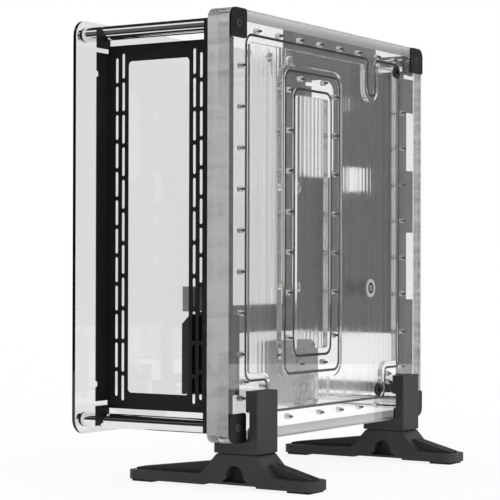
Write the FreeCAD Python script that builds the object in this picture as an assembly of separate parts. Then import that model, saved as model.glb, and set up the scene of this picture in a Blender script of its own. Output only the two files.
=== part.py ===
import FreeCAD, Part
import math
import os

# Open-frame computer case: a clear coolant distribution plate and a tinted glass panel,
# held apart by four corner rods, with folded steel brackets between them and two feet below.
# Frame: +X to the rear, -Y out of the distribution plate, +Y out of the glass, +Z up, millimetres.
# Depths are measured from the plate's outer face towards the glass.

# Overall body
PLATE_W = 496.0
PLATE_H = 511.0
COVER_T = 14.9
JOINT_GAP = 0.1
CORE_T = 15.0
BODY_GAP = 194.0
GLASS_T = 4.5
PLATE_BOTTOM = 57.0
PLATE_CORNER_R = 12.0
GLASS_CORNER_R = 20.0

# Feet
FOOT_W = 46.3
FOOT_EDGE = 38.1
FOOT_FRONT = 89.0
FOOT_LENGTH = 264.0
PAD_T = 3.0
PAD_LENGTH = 30.0
PAD_INSET = 6.0
SADDLE_BASE_T = 15.0
SADDLE_FRONT_T = 16.5
SADDLE_RISE = 60.0
SADDLE_BEHIND = 14.4
SADDLE_RELIEF = 5.0
SADDLE_RELIEF_RISE = 35.0
SADDLE_EDGE_R = 1.5
SKIRT_TIP_H = 11.0
SKIRT_ROOT_H = 13.0
SKIRT_EDGE_R = 2.0
HUB_SLOPE_RUN = 24.0
HUB_BLEND_R = 14.0
HUB_INSET = 4.0
HUB_CHAMFER = 1.5
STAND_END_R = 14.0
SPINE_W = 20.0
SPINE_INSET = 8.0
SPINE_TIP_H = 13.5
SPINE_ROOT_H = 27.5
RIB_COUNT = 3
RIB_GAP = 3.2
RIB_DEPTH = 2.6
ARCH_CENTRE = 15.5
ARCH_HALF = 11.8
ARCH_FOOT_HALF = 18.6
ARCH_SILL = 8.0
ARCH_SHOULDER = 12.0
ARCH_TOP = 27.9
ARCH_FLARE_R = 6.0
ARCH_WALL = 14.0
SOLE_RUN = (-14.0, 60.0)
SOLE_RISE = 2.0
FOOT_BOLT_R = 2.5
FOOT_BOLT_BITE = 14.0
FOOT_BOLT_HEAD_R = 4.5
FOOT_BOLT_HEAD_T = 4.0
FOOT_BOLT_SEAT = 20.0

# Corner fixings
CORNER_INSET = 18.0
CAP_SIZE = 35.0
CAP_T = 2.5
CAP_CHAMFER = 4.0
ROD_R = 9.0
BOLT_R = 3.0
BOLT_CLEAR_R = 3.25
BOLT_HEAD_R = 5.0
BOLT_HEAD_T = 2.0
BOLT_HEAD_CLEAR = 0.4
BOLT_BITE = 14.0
KNOB_R = 7.0
KNOB_T = 4.5
KNOB_CHAMFER = 0.8
WASHER_T = 2.0
OUTER_WASHER_T = 1.0

# Sheet steel end brackets
SHEET = 1.5
FRONT_WEB_INSET = 28.7
REAR_WEB_INSET = 32.0
FLANGE_INSET = 2.0
FAR_FLANGE_GAP = 29.5
WEB_MARGIN = 32.5
TAB_RISE = 6.0
TAB_STEP = 4.0
TAB_GAP = 5.7
TAB_NECK = 2.0
TAB_LIP = 6.7
FLANGE_BITE_R = 4.0
FLANGE_BITE_LOW = 30.5
FLANGE_BITE_HIGH = 36.0
FAN_DEPTH = 90.6
OPENING_HALF = 45.25
OPENING_MARGIN = 20.0
OPENING_R = 5.0
SLOT_W = 4.6
SLOT_END = 10.0
FAN_120 = (52.5, 35.5, 40.0)
FAN_140 = (62.25, 30.8, 35.0)

# Distribution plate: seals, water chambers and ports
SEAL_W = 3.0
SEAL_T = 2.4
GROOVE_CLEAR = 0.1
LAND = 8.0
CHAMBER_DEPTH = 7.0
COVER_POCKET = 7.0
FLUTE_PITCH = 10.0
FLUTE_DEPTH = 0.2
SEAL_FRONT = 48.0
SEAL_REAR = 56.0
SEAL_BOTTOM = 31.6
SEAL_TOP = 27.0
SEAL_R = 12.0
SEAL_TIGHT_R = 7.0
NOTCH_CLEAR = 11.0
DIP_REAR = 125.0
DIP_W = 21.0
DIP_DROP = 48.0
ISLAND_FRONT = 138.0
ISLAND_W = 135.0
ISLAND_BOTTOM = 75.0
ISLAND_TOP = 61.0
TANK_INSET = 21.0
PORT_R = 6.58
PORT_SPOT_R = 10.5
PORT_SPOT_T = 1.0
TOP_PORTS = (62.0, 112.0, 162.0)
TOP_PORT_DROP = 48.0
TANK_PORT = 181.0
TANK_PORT_DROPS = (205.0, 330.0)
STOP_PLUG = (149.0, 332.0)
FILL_PLUG = (74.6, 38.2)
DRAIN_PLUG = (125.4, 468.0)
STOP_PLUG_R = 12.0
PLUG_R = 9.0
PLUG_HEAD_T = 1.2
PLUG_SHANK_R = 6.5
PLUG_SHANK_L = 8.0
PLUG_HEX_R = 3.4
PLUG_HEX_DEPTH = 3.5

# Pump on the back of the plate
PUMP_EDGE = 199.5
PUMP_RISE = 55.0
PUMP_W = 62.0
PUMP_BELOW = 25.0
PUMP_ABOVE = 60.0
PUMP_CORNER_R = 12.0
VOLUTE_R = 21.7
VOLUTE_WALL = 1.5
INLET_R = 7.0
PUMP_RIM_T = 10.0
MOTOR_L = 44.0
MOTOR_INSET = 1.5
MOTOR_CHAMFER = 3.0
PUMP_SCREW_R = 2.0
PUMP_SCREW_INSET = 7.0
PUMP_SCREW_BITE = 6.0
PUMP_SCREW_HEAD_R = 3.5
PUMP_SCREW_HEAD_T = 2.5
IMPELLER_R = 20.0
IMPELLER_DISC_T = 1.5
IMPELLER_BLADE_H = 3.5
IMPELLER_BLADE_T = 1.6
IMPELLER_BLADES = 6
IMPELLER_HUB_R = 5.0
PIVOT_R = 1.5
PIVOT_CLEAR = 0.1
RUN_CLEAR = 0.5

# Motherboard tray, given from the rear bracket and the plate's top
TRAY_T = 1.2
TRAY_GAP = 42.0
TRAY_MARGIN = 9.5
TRAY_BOTTOM = 125.0
TRAY_TOP = 0.0
TRAY_FLANGE = 12.0
CPU_CUTOUT = (117.5, 204.5, 56.0, 185.0)
CPU_CUTOUT_R = 16.0
CABLE_CUTOUT = (17.5, 80.0, 167.0, 211.0)
CABLE_CUTOUT_R = 4.0
TIE_SLOT_W = 8.0
TIE_SLOT_H = 20.0
TIE_SLOT_REAR = 71.0
TIE_SLOT_DROPS = (72.0, 227.0, 286.0)
TIE_HOLE_R = 2.5
TIE_HOLES = ((162.0, 269.0), (162.0, 290.0), (156.0, 299.6), (162.0, 309.0))
BOARD_HOLE_X = (0.0, 154.94, 227.33)
BOARD_HOLE_Z = (0.0, 157.48, 281.94)
BOARD_HOLE_REAR = 11.7
BOARD_HOLE_DROP = 43.0
STANDOFF_H = 6.5
STANDOFF_ACROSS = 5.5
STANDOFF_HOLE_R = 1.5
RAIL_H = 34.5
RAIL_RISE_H = 30.0
RAIL_CLEAR = 3.0
RAIL_ARM = 8.0
RAIL_SLOPE = 24.0

# Rear bracket: board connectors, expansion slots and power supply
IO_APERTURE = (8.0, 52.5, 39.2, 198.0)
IO_CORNER_R = 1.0
REAR_WINDOW = (55.0, 114.0, 37.0, 200.0)
EXPANSION_COUNT = 7
EXPANSION_PITCH = 20.32
EXPANSION_DROP = 220.0
EXPANSION_SLOT = (12.0, 104.0)
EXPANSION_SLOT_H = 13.0
SLOT_COVER = (7.0, 114.0)
SLOT_COVER_H = 18.4
SLOT_COVER_T = 1.0
SLOT_SCREW_R = 3.0
SLOT_SCREW_T = 2.0
SUPPLY_MARGIN = 10.0
SUPPLY_RISE = (47.0, 115.0)
REAR_NOTCHES = ((89.0, 170.0), (256.0, 349.0))
REAR_NOTCH_INSET = 10.0

# Front connector module, behind the front bracket beside the plate
MODULE_GAP = 6.0
MODULE_L = 50.0
MODULE_D = 24.0
MODULE_RISE = 54.0
MODULE_H = 96.0
MODULE_WALL = 2.0
MODULE_CHAMFER = 12.0
BOARD_T = 1.6
BOARD_SETBACK = 15.0
POWER_DROP = 16.0
POWER_R = 6.0
POWER_TRAVEL = 1.2
RESET_DROP = 33.0
RESET_R = 3.0
RESET_TRAVEL = 0.8
BUTTON_PROUD = 2.0
BUTTON_CLEAR = 0.3
BUTTON_COLLAR = 1.2
BUTTON_COLLAR_T = 1.0
SWITCH_SIZE = 6.0
USB_A = (5.6, 13.1)
USB_C = (3.4, 9.0)
USB_A_DROPS = (52.0, 70.0)
USB_C_DROP = 85.0
SOCKET_WALL = 0.6
SOCKET_CAVITY = 9.0

# Places worked out from the driving dimensions
PLATE_TOP = PLATE_BOTTOM + PLATE_H
CORE_FACE = COVER_T + JOINT_GAP
PLATE_T = CORE_FACE + CORE_T
NEAR_FLANGE = PLATE_T + JOINT_GAP
ROD_START = NEAR_FLANGE + SHEET
CAP_FACE = -JOINT_GAP - CAP_T
GLASS_DEPTH = PLATE_T + BODY_GAP
BACK_DEPTH = GLASS_DEPTH + GLASS_T + OUTER_WASHER_T + KNOB_T
FACE_Y = (FOOT_FRONT - BACK_DEPTH) / 2.0
HALF_W = PLATE_W / 2.0
FRONT_WEB = FRONT_WEB_INSET - HALF_W
REAR_WEB = HALF_W - REAR_WEB_INSET
REAR_FACE = REAR_WEB - SHEET
FLANGE_X = HALF_W - FLANGE_INSET
WEB_LOW = PLATE_BOTTOM + WEB_MARGIN
WEB_HIGH = PLATE_TOP - WEB_MARGIN
ROD_X = HALF_W - CORNER_INSET
ROD_Z = (PLATE_BOTTOM + CORNER_INSET, PLATE_TOP - CORNER_INSET)
FAR_FACE = GLASS_DEPTH - FAR_FLANGE_GAP
FAR_FLANGE = FAR_FACE - SHEET
FAN_CENTRE = PLATE_T + FAN_DEPTH
FOOT_X = HALF_W - FOOT_EDGE - FOOT_W / 2.0
FOOT_BACK = FOOT_LENGTH - FOOT_FRONT
STAND_TOP = PLATE_BOTTOM - SADDLE_BASE_T
SADDLE_TOP = PLATE_BOTTOM + SADDLE_RISE
SADDLE_REACH = PLATE_T + SADDLE_BEHIND
FOOT_BOLT_DEPTH = CORE_FACE + CORE_T / 2.0
CHAMBER_FLOOR = CORE_FACE + CHAMBER_DEPTH
VOLUTE_FACE = CHAMBER_FLOOR + VOLUTE_WALL
TRAY_DEPTH = PLATE_T + TRAY_GAP
TRAY_FACE = TRAY_DEPTH + TRAY_T
TRAY_LOW = PLATE_BOTTOM + TRAY_BOTTOM
TRAY_HIGH = PLATE_TOP - TRAY_TOP
TRAY_LEFT = REAR_FACE - BOARD_HOLE_REAR - BOARD_HOLE_X[-1] - TRAY_MARGIN
MODULE_NEAR = PLATE_T + MODULE_GAP
MODULE_FAR = MODULE_NEAR + MODULE_L
MODULE_LOW = PLATE_BOTTOM + MODULE_RISE
MODULE_HIGH = MODULE_LOW + MODULE_H
MODULE_FRONT = FRONT_WEB + SHEET
BOARD_FACE = MODULE_FRONT + BOARD_SETBACK
CONTROL_DEPTH = MODULE_NEAR + MODULE_WALL + POWER_R + BUTTON_COLLAR + BUTTON_CLEAR
POWER_Z = MODULE_HIGH - POWER_DROP
RESET_Z = MODULE_HIGH - RESET_DROP
PUMP_X = PUMP_EDGE - HALF_W
PUMP_Z = PLATE_BOTTOM + PUMP_RISE
PUMP_FACE = PLATE_T + JOINT_GAP
MOTOR_END = PUMP_FACE + MOTOR_L
TOUCHING = 1e-6
ALONG_X = FreeCAD.Vector(1, 0, 0)
ALONG_Y = FreeCAD.Vector(0, 1, 0)
ALONG_Z = FreeCAD.Vector(0, 0, 1)


def at_edge(distance):
    """X of a place given by its distance from the plate's front edge."""
    return distance - HALF_W


def at_depth(depth):
    """Y of a place given by its depth behind the plate's outer face."""
    return depth + FACE_Y


def block(x_range, depth_range, z_range):
    """Box between two X, two depths and two heights."""
    corner = FreeCAD.Vector(min(x_range), at_depth(min(depth_range)), min(z_range))
    spans = [abs(pair[1] - pair[0]) for pair in (x_range, depth_range, z_range)]
    return Part.makeBox(*spans, corner)


def cylinder_y(x, z, radius, depth_from, depth_to):
    """Cylinder along Y between two depths."""
    base = FreeCAD.Vector(x, at_depth(depth_from), z)
    return Part.makeCylinder(radius, depth_to - depth_from, base, ALONG_Y)


def cylinder_x(depth, z, radius, x_from, x_to):
    """Cylinder along X between two X places."""
    base = FreeCAD.Vector(x_from, at_depth(depth), z)
    return Part.makeCylinder(radius, x_to - x_from, base, ALONG_X)


def rounded_wire(points, radii, place):
    """Closed wire through the points with every corner rounded by its own radius."""
    count = len(points)
    edges = []
    joins = []
    for index, point in enumerate(points):
        here = FreeCAD.Vector(point[0], point[1], 0)
        before = FreeCAD.Vector(*points[index - 1], 0) - here
        after = FreeCAD.Vector(*points[(index + 1) % count], 0) - here
        before.normalize()
        after.normalize()
        radius = radii[index]
        half = before.getAngle(after) / 2.0
        reach = radius / math.tan(half)
        start = here + before * reach
        end = here + after * reach
        joins.append((start, end))
        if radius > 0:
            bisector = before + after
            bisector.normalize()
            middle = here + bisector * (radius / math.sin(half) - radius)
            arc = Part.Arc(place(start.x, start.y), place(middle.x, middle.y), place(end.x, end.y))
            edges.append(arc.toShape())
    for index in range(count):
        leave = joins[index][1]
        arrive = joins[(index + 1) % count][0]
        if leave.distanceToPoint(arrive) > TOUCHING:
            edges.append(Part.makeLine(place(leave.x, leave.y), place(arrive.x, arrive.y)))
    return Part.Wire(Part.__sortEdges__(edges))


def facing_y(depth):
    """Placing function for outlines drawn as (X, Z) at one depth."""
    return lambda x, z: FreeCAD.Vector(x, at_depth(depth), z)


def facing_x(x):
    """Placing function for outlines drawn as (depth, Z) at one X."""
    return lambda depth, z: FreeCAD.Vector(x, at_depth(depth), z)


def prism_y(points, radii, depth_from, depth_to):
    """Rounded outline in (X, Z) swept between two depths."""
    wire = rounded_wire(points, radii, facing_y(depth_from))
    return Part.Face(wire).extrude(ALONG_Y * (depth_to - depth_from))


def prism_x(points, radii, x_from, x_to):
    """Rounded outline in (depth, Z) swept between two X places."""
    wire = rounded_wire(points, radii, facing_x(x_from))
    return Part.Face(wire).extrude(ALONG_X * (x_to - x_from))


def rectangle(low_u, high_u, low_v, high_v):
    """Four corners of a rectangle, counter-clockwise."""
    return [(low_u, low_v), (high_u, low_v), (high_u, high_v), (low_u, high_v)]


def panel(corner_r, depth_from, depth_to):
    """Full-size panel with rounded corners and the four corner bolt holes."""
    points = rectangle(-HALF_W, HALF_W, PLATE_BOTTOM, PLATE_TOP)
    shape = prism_y(points, [corner_r] * 4, depth_from, depth_to)
    for x, z in corner_places():
        shape = shape.cut(cylinder_y(x, z, BOLT_CLEAR_R, depth_from, depth_to))
    return shape


def corner_places():
    """X and Z of the four rod axes."""
    return [(x, z) for x in (-ROD_X, ROD_X) for z in ROD_Z]


def save(name, shapes):
    """Write one node, a single solid or a group of like solids."""
    group = shapes if isinstance(shapes, list) else [shapes]
    solids = [solid for shape in group for solid in shape.removeSplitter().Solids]
    result = solids[0] if len(solids) == 1 else Part.makeCompound(solids)
    result.exportStep(os.path.join("parts", name + ".step"))


# Distribution plate

def outer_seal_path():
    """Points and radii of the outer seal, which steps round the feet and dips at the top."""
    left, right = at_edge(SEAL_FRONT), HALF_W - SEAL_REAR
    low, high = PLATE_BOTTOM + SEAL_BOTTOM, PLATE_TOP - SEAL_TOP
    step_x = FOOT_X - FOOT_W / 2.0 - NOTCH_CLEAR
    step_z = SADDLE_TOP + NOTCH_CLEAR
    dip_right = HALF_W - DIP_REAR
    dip_left, dip_low = dip_right - DIP_W, high - DIP_DROP
    points = [(-step_x, low), (step_x, low), (step_x, step_z), (right, step_z), (right, high)]
    points += [(dip_right, high), (dip_right, dip_low), (dip_left, dip_low), (dip_left, high)]
    points += [(left, high), (left, step_z), (-step_x, step_z)]
    dip_r = DIP_W / 2.0
    radii = [SEAL_TIGHT_R, SEAL_R, SEAL_TIGHT_R, SEAL_TIGHT_R, SEAL_R, SEAL_TIGHT_R]
    radii += [dip_r, dip_r, SEAL_TIGHT_R, SEAL_R, SEAL_R, SEAL_TIGHT_R]
    return points, radii


def island_path(inset):
    """Points and radii of a seal ring round the tank's land, set in from its outer ring."""
    left = at_edge(ISLAND_FRONT)
    low, high = PLATE_BOTTOM + ISLAND_BOTTOM, PLATE_TOP - ISLAND_TOP
    points = rectangle(left + inset, left + ISLAND_W - inset, low + inset, high - inset)
    return points, [SEAL_R] * 4


def seal_paths():
    """The three seals by name."""
    return {
        "seal_outer": outer_seal_path(),
        "seal_island": island_path(0.0),
        "seal_tank": island_path(TANK_INSET),
    }


def path_face(path, offset, depth):
    """Face inside a seal path, grown or shrunk by an offset."""
    wire = rounded_wire(path[0], path[1], facing_y(depth))
    return Part.Face(wire.makeOffset2D(offset))


def band(path, width, depth_from, depth_to):
    """Band of one width that follows a seal path."""
    outer = path_face(path, width / 2.0, depth_from)
    inner = path_face(path, -width / 2.0, depth_from)
    return outer.cut(inner).extrude(ALONG_Y * (depth_to - depth_from))


def fluted_mass():
    """Block as deep as the water chambers, its floor scalloped into upright flutes."""
    left, right = at_edge(SEAL_FRONT), HALF_W - SEAL_REAR
    count = round((right - left) / FLUTE_PITCH)
    pitch = (right - left) / count
    floor = CHAMBER_FLOOR - FLUTE_DEPTH
    edges = []
    for index in range(count):
        start = left + index * pitch
        points = [(start, floor), (start + pitch / 2.0, CHAMBER_FLOOR), (start + pitch, floor)]
        edges.append(Part.Arc(*[FreeCAD.Vector(x, at_depth(d), PLATE_BOTTOM) for x, d in points]).toShape())
    sides = [(right, floor), (right, CORE_FACE), (left, CORE_FACE), (left, floor)]
    corners = [FreeCAD.Vector(x, at_depth(d), PLATE_BOTTOM) for x, d in sides]
    edges += Part.makePolygon(corners).Edges
    return Part.Face(Part.Wire(edges)).extrude(ALONG_Z * PLATE_H)


def port_places():
    """X and Z of the threaded hose ports on the back of the plate."""
    places = [(at_edge(edge), PLATE_TOP - TOP_PORT_DROP) for edge in TOP_PORTS]
    return places + [(at_edge(TANK_PORT), PLATE_TOP - drop) for drop in TANK_PORT_DROPS]


def chamber_faces(depth):
    """Outlines of the two water chambers: the ring round the tank's land, and the tank."""
    paths = seal_paths()
    ring = path_face(paths["seal_outer"], -LAND, depth)
    ring = ring.cut(path_face(paths["seal_island"], LAND, depth))
    return [ring, path_face(paths["seal_tank"], -LAND, depth)]


def plate_core():
    """Back half of the plate: seal grooves, two fluted water chambers and the hose ports."""
    shape = panel(PLATE_CORNER_R, CORE_FACE, PLATE_T)
    for path in seal_paths().values():
        shape = shape.cut(band(path, SEAL_W + 2.0 * GROOVE_CLEAR, CORE_FACE, CORE_FACE + SEAL_T))
    reach = ALONG_Y * (CHAMBER_DEPTH + FLUTE_DEPTH)
    mass = fluted_mass()
    for face in chamber_faces(CORE_FACE):
        shape = shape.cut(face.extrude(reach).common(mass))
    for x, z in port_places():
        shape = shape.cut(cylinder_y(x, z, PORT_R, CHAMBER_FLOOR - FLUTE_DEPTH, PLATE_T))
        shape = shape.cut(cylinder_y(x, z, PORT_SPOT_R, PLATE_T - PORT_SPOT_T, PLATE_T))
    for x in (-FOOT_X, FOOT_X):
        shape = shape.cut(cylinder_at_foot(x, FOOT_BOLT_R, PLATE_BOTTOM, PLATE_BOTTOM + FOOT_BOLT_BITE))
    shape = shape.cut(pump_screw_holes(PLATE_T - PUMP_SCREW_BITE, PLATE_T))
    shape = shape.cut(cylinder_y(PUMP_X, PUMP_Z, INLET_R, CHAMBER_FLOOR - FLUTE_DEPTH, PLATE_T))
    return shape.cut(cylinder_y(PUMP_X, PUMP_Z, VOLUTE_R, VOLUTE_FACE, PLATE_T))


def service_ports():
    """X and Z of each plugged port in the outer face, with its plug's head radius."""
    listed = {
        "stop_plug": (STOP_PLUG, STOP_PLUG_R),
        "fill_plug": (FILL_PLUG, PLUG_R),
        "drain_plug": (DRAIN_PLUG, PLUG_R),
    }
    places = {}
    for name, ((rear, drop), radius) in listed.items():
        places[name] = (HALF_W - rear, PLATE_TOP - drop, radius)
    return places


def plate_cover():
    """Front half of the plate: its share of the water chambers and three plugged service ports."""
    shape = panel(PLATE_CORNER_R, 0.0, COVER_T)
    for face in chamber_faces(COVER_T - COVER_POCKET):
        shape = shape.cut(face.extrude(ALONG_Y * COVER_POCKET))
    for x, z, _ in service_ports().values():
        shape = shape.cut(cylinder_y(x, z, PLUG_SHANK_R, 0.0, PLUG_SHANK_L))
    return shape


def hexagon_y(x, z, radius, depth_from, depth_to):
    """Hexagonal prism along Y."""
    turns = [math.radians(60.0 * index) for index in range(6)]
    points = [(x + radius * math.cos(turn), z + radius * math.sin(turn)) for turn in turns]
    return prism_y(points, [0.0] * 6, depth_from, depth_to)


def service_plug(x, z, head_r):
    """Threaded plug in the outer face, with a hexagonal key recess."""
    shape = cylinder_y(x, z, head_r, -PLUG_HEAD_T, 0.0)
    shape = shape.fuse(cylinder_y(x, z, PLUG_SHANK_R, 0.0, PLUG_SHANK_L))
    return shape.cut(hexagon_y(x, z, PLUG_HEX_R, -PLUG_HEAD_T, PLUG_HEX_DEPTH - PLUG_HEAD_T))


# Corner fixings

def corner_cap(x, z):
    """Square cap on one corner of the plate, its outer corner rounded like the plate."""
    side = math.copysign(1.0, x)
    rise = 1.0 if z > ROD_Z[0] else -1.0
    outer, inner = CORNER_INSET, CORNER_INSET - CAP_SIZE
    corners = [(outer, outer), (inner, outer), (inner, inner), (outer, inner)]
    radii = [PLATE_CORNER_R, CAP_CHAMFER, CAP_CHAMFER, CAP_CHAMFER]
    points = [(x + side * u, z + rise * v) for u, v in corners]
    shape = prism_y(points, radii, CAP_FACE, -JOINT_GAP)
    shape = shape.cut(cylinder_y(x, z, BOLT_HEAD_R + BOLT_HEAD_CLEAR, CAP_FACE, CAP_FACE + BOLT_HEAD_T))
    return shape.cut(cylinder_y(x, z, BOLT_CLEAR_R, CAP_FACE, -JOINT_GAP))


def corner_bolt(x, z):
    """Socket bolt sunk in a cap, through the plate into the rod behind it."""
    seat = CAP_FACE + BOLT_HEAD_T
    head = cylinder_y(x, z, BOLT_HEAD_R, CAP_FACE, seat)
    shank = cylinder_y(x, z, BOLT_R, seat, ROD_START + BOLT_BITE)
    return head.cut(hexagon_y(x, z, BOLT_R, CAP_FACE, (CAP_FACE + seat) / 2.0)).fuse(shank)


def rod(x, z):
    """Round bar between the near and far flanges, bored at both ends for its bolts."""
    shape = cylinder_y(x, z, ROD_R, ROD_START, FAR_FLANGE)
    shape = shape.cut(cylinder_y(x, z, BOLT_R, ROD_START, ROD_START + BOLT_BITE))
    return shape.cut(cylinder_y(x, z, BOLT_R, FAR_FLANGE - BOLT_BITE, FAR_FLANGE))


def tube(x, z, outer_r, inner_r, depth_from, depth_to):
    """Round sleeve or washer along Y."""
    outer = cylinder_y(x, z, outer_r, depth_from, depth_to)
    return outer.cut(cylinder_y(x, z, inner_r, depth_from, depth_to))


def knob(x, z):
    """Thumb screw outside the glass, its shank reaching through into the rod."""
    start = BACK_DEPTH - KNOB_T
    head = cylinder_y(x, z, KNOB_R, start, BACK_DEPTH)
    rim = [edge for edge in head.Edges if abs(edge.BoundBox.YMin - at_depth(BACK_DEPTH)) < TOUCHING]
    head = head.makeChamfer(KNOB_CHAMFER, rim)
    return head.fuse(cylinder_y(x, z, BOLT_R, FAR_FLANGE - BOLT_BITE, start))


# Sheet brackets

def web_face(side):
    """X of the outer face of the front or the rear bracket's web."""
    return FRONT_WEB if side < 0 else REAR_WEB


def sheet_flange(side, depth):
    """Outward flange of an end bracket, with necked corner tabs that the rods hold."""
    inner, outer = web_face(side), side * FLANGE_X
    neck = inner + side * TAB_NECK
    depths = (depth, depth + SHEET)
    shape = block((inner, outer), depths, (ROD_Z[0] - TAB_RISE, ROD_Z[1] + TAB_RISE))
    for low in (WEB_LOW + TAB_STEP, WEB_HIGH - TAB_STEP - TAB_GAP):
        shape = shape.cut(block((neck, outer), depths, (low, low + TAB_GAP)))
    for z in ROD_Z:
        shape = shape.cut(cylinder_y(side * ROD_X, z, BOLT_CLEAR_R, *depths))
    return shape


def end_bracket(side):
    """Folded channel between plate and glass: a web, two outward flanges and a lip on each near tab."""
    web = (web_face(side), web_face(side) - side * SHEET)
    shape = block(web, (NEAR_FLANGE, FAR_FACE), (WEB_LOW, WEB_HIGH))
    shape = shape.fuse(sheet_flange(side, NEAR_FLANGE))
    shape = shape.fuse(sheet_flange(side, FAR_FLANGE))
    lip_x = (side * (FLANGE_X - SHEET), side * FLANGE_X)
    tabs = ((ROD_Z[0] - TAB_RISE, WEB_LOW + TAB_STEP), (WEB_HIGH - TAB_STEP, ROD_Z[1] + TAB_RISE))
    for heights in tabs:
        shape = shape.fuse(block(lip_x, (NEAR_FLANGE, NEAR_FLANGE + TAB_LIP), heights))
    for z in (WEB_LOW + FLANGE_BITE_LOW, WEB_HIGH - FLANGE_BITE_HIGH):
        shape = shape.cut(cylinder_y(side * FLANGE_X, z, FLANGE_BITE_R, FAR_FLANGE, FAR_FACE))
    return shape


def through_web(side, bounds, radius):
    """Cutter for a rounded opening, given as two depths and two heights, through a web."""
    face = web_face(side)
    return prism_x(rectangle(*bounds), [radius] * 4, face - SHEET, face + SHEET)


def slot_column(depth, length, pitch):
    """Upright row of fixing slots for fans and a radiator, the end ones cut short."""
    count = int((WEB_HIGH - WEB_LOW) / pitch)
    middle = (WEB_HIGH + WEB_LOW) / 2.0
    half = SLOT_W / 2.0
    cutters = []
    for index in range(count):
        z = middle + (index - (count - 1) / 2.0) * pitch
        low = max(z - length / 2.0, WEB_LOW + SLOT_END)
        high = min(z + length / 2.0, WEB_HIGH - SLOT_END)
        cutters.append(through_web(-1.0, (depth - half, depth + half, low, high), half))
    return cutters


def front_bracket():
    """Radiator bracket with its tall opening, four slot columns and the control openings."""
    opening = (FAN_CENTRE - OPENING_HALF, FAN_CENTRE + OPENING_HALF)
    opening += (WEB_LOW + OPENING_MARGIN, WEB_HIGH - OPENING_MARGIN)
    cutters = [through_web(-1.0, opening, OPENING_R)]
    for half_spacing, length, pitch in (FAN_120, FAN_140):
        for sign in (-1.0, 1.0):
            cutters += slot_column(FAN_CENTRE + sign * half_spacing, length, pitch)
    for z, radius in ((POWER_Z, POWER_R), (RESET_Z, RESET_R)):
        cutters.append(cylinder_x(CONTROL_DEPTH, z, radius + BUTTON_CLEAR, FRONT_WEB - SHEET, MODULE_FRONT))
    for width, height, z in socket_list():
        depths = (CONTROL_DEPTH - width / 2.0, CONTROL_DEPTH + width / 2.0)
        cutters.append(through_web(-1.0, depths + (z - height / 2.0, z + height / 2.0), 0.0))
    return end_bracket(-1.0).cut(cutters)


def rear_bracket():
    """Rear bracket with a window, the connector aperture, expansion slots and power supply opening."""
    aperture = tuple(TRAY_DEPTH + reach for reach in IO_APERTURE[:2])
    aperture += (PLATE_TOP - IO_APERTURE[3], PLATE_TOP - IO_APERTURE[2])
    supply = (PLATE_T + SUPPLY_MARGIN, FAR_FLANGE - SUPPLY_MARGIN)
    supply += tuple(PLATE_BOTTOM + rise for rise in SUPPLY_RISE)
    window = tuple(TRAY_DEPTH + reach for reach in REAR_WINDOW[:2])
    window += (PLATE_TOP - REAR_WINDOW[3], PLATE_TOP - REAR_WINDOW[2])
    cutters = [through_web(1.0, aperture, IO_CORNER_R), through_web(1.0, supply, OPENING_R)]
    cutters.append(through_web(1.0, window, OPENING_R))
    slot_depths = tuple(TRAY_DEPTH + reach for reach in EXPANSION_SLOT)
    half = EXPANSION_SLOT_H / 2.0
    for z in expansion_heights():
        cutters.append(through_web(1.0, slot_depths + (z - half, z + half), IO_CORNER_R))
    notch_x = (REAR_WEB + REAR_NOTCH_INSET, FLANGE_X)
    for top, bottom in REAR_NOTCHES:
        heights = (PLATE_TOP - bottom, PLATE_TOP - top)
        cutters.append(block(notch_x, (NEAR_FLANGE, NEAR_FLANGE + SHEET), heights))
    return end_bracket(1.0).cut(cutters)


def expansion_heights():
    """Heights of the expansion slots, from the top."""
    return [PLATE_TOP - EXPANSION_DROP - index * EXPANSION_PITCH for index in range(EXPANSION_COUNT)]


def slot_cover(z):
    """Blanking plate over one expansion slot, inside the rear bracket."""
    half = SLOT_COVER_H / 2.0
    depths = [TRAY_DEPTH + reach for reach in SLOT_COVER]
    return block((REAR_FACE - SLOT_COVER_T, REAR_FACE), depths, (z - half, z + half))


def slot_cover_screw(z):
    """Pan-head screw that holds the glass-side end of a blanking plate."""
    depth = TRAY_DEPTH + (EXPANSION_SLOT[1] + SLOT_COVER[1]) / 2.0
    face = REAR_FACE - SLOT_COVER_T
    return cylinder_x(depth, z, SLOT_SCREW_R, face - SLOT_SCREW_T, face)


def motherboard_tray():
    """Folded tray that carries the main board, with a processor cut-out and cable openings."""
    depths = (TRAY_DEPTH, TRAY_FACE)
    folded = (TRAY_DEPTH - TRAY_FLANGE, TRAY_FACE)
    shape = block((TRAY_LEFT, REAR_FACE), depths, (TRAY_LOW, TRAY_HIGH))
    shape = shape.fuse(block((TRAY_LEFT, TRAY_LEFT + TRAY_T), folded, (TRAY_LOW, TRAY_HIGH)))
    shape = shape.fuse(block((REAR_FACE - TRAY_T, REAR_FACE), folded, (TRAY_LOW, WEB_HIGH)))
    for bounds, radius in ((CPU_CUTOUT, CPU_CUTOUT_R), (CABLE_CUTOUT, CABLE_CUTOUT_R)):
        x_pair = (REAR_FACE - bounds[1], REAR_FACE - bounds[0])
        points = rectangle(*x_pair, PLATE_TOP - bounds[3], PLATE_TOP - bounds[2])
        shape = shape.cut(prism_y(points, [radius] * 4, *depths))
    slot_x = REAR_FACE - TIE_SLOT_REAR
    for drop in TIE_SLOT_DROPS:
        top = PLATE_TOP - drop
        shape = shape.cut(block((slot_x - TIE_SLOT_W, slot_x), depths, (top - TIE_SLOT_H, top)))
    holes = [(REAR_FACE - rear, PLATE_TOP - drop) for rear, drop in TIE_HOLES]
    return shape.cut([cylinder_y(x, z, TIE_HOLE_R, *depths) for x, z in holes])


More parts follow.
